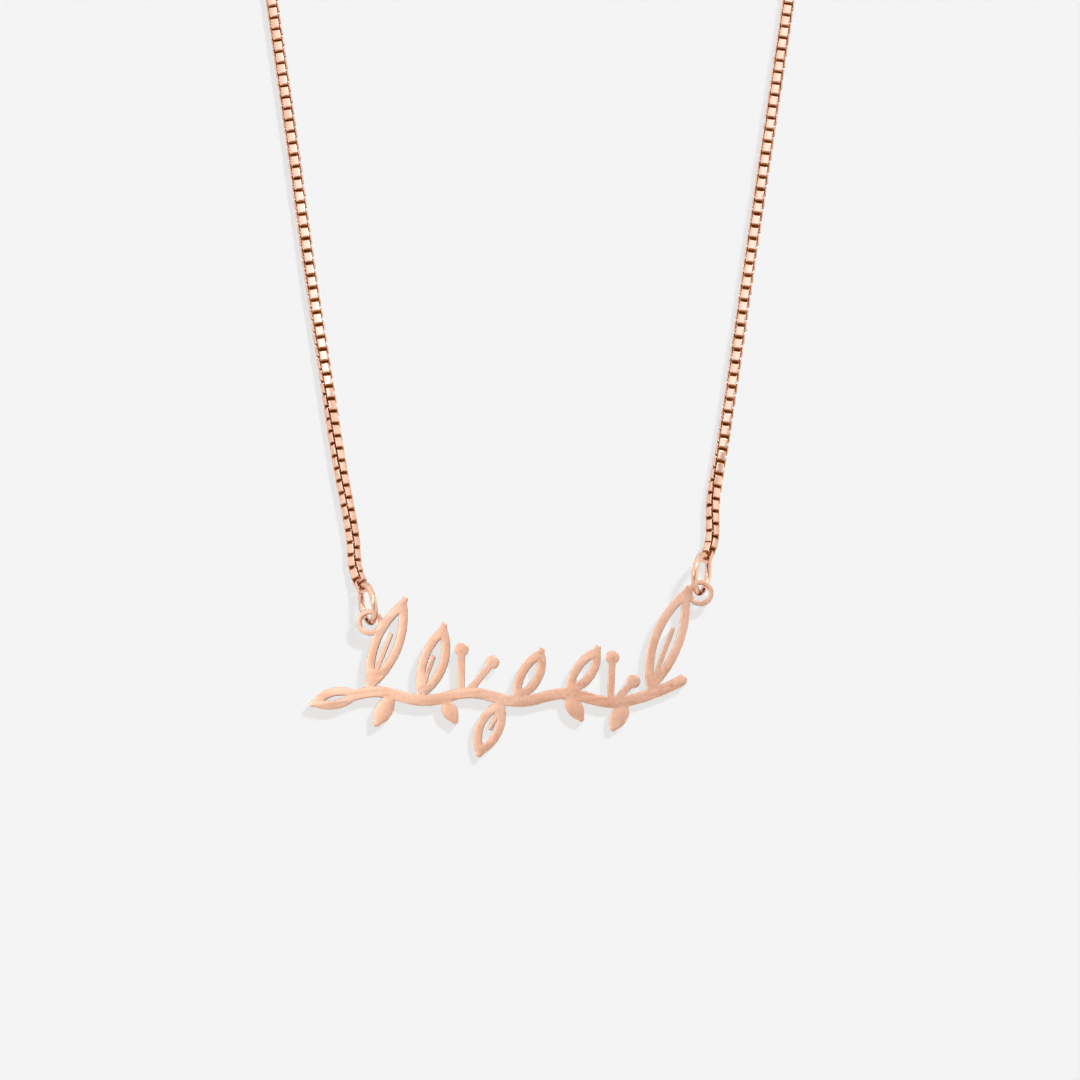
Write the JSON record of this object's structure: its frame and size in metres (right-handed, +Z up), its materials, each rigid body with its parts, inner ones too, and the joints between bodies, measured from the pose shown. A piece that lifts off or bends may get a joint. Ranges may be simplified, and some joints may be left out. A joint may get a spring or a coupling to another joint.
{
  "type": "nameplate necklace",
  "caption": "Rose gold nameplate necklace laid flat: a box chain loop with a clasp, and jump rings that carry a pierced plate cut as a wordless vine.",
  "frame": {"origin": "centre of the underside of the bounding box, on the surface that the necklace lies on", "axes": "+X to the right with the plate nearest, +Y from the plate towards the clasp, +Z up from the surface"},
  "size_m": [0.0768, 0.2024, 0.004],
  "materials": {
    "plate": "fine matte brushed rose gold plating on stainless steel",
    "chain": "polished rose gold plating on stainless steel strip",
    "rings": "polished rose gold plating on stainless steel wire",
    "clasp": "polished rose gold plating on cast stainless steel"
  },
  "bodies": {
    "root": {"nameplate": "plate", "jump_ring_left": "rings", "jump_ring_right": "rings", "chain_left": "chain", "chain_right": "chain", "end_link_left": "chain", "end_link_right": "chain", "end_link_clasp": "chain", "end_link_catch": "chain", "clasp_ring": "rings", "catch_ring": "rings", "clasp": "clasp"}
  },
  "joints": []
}
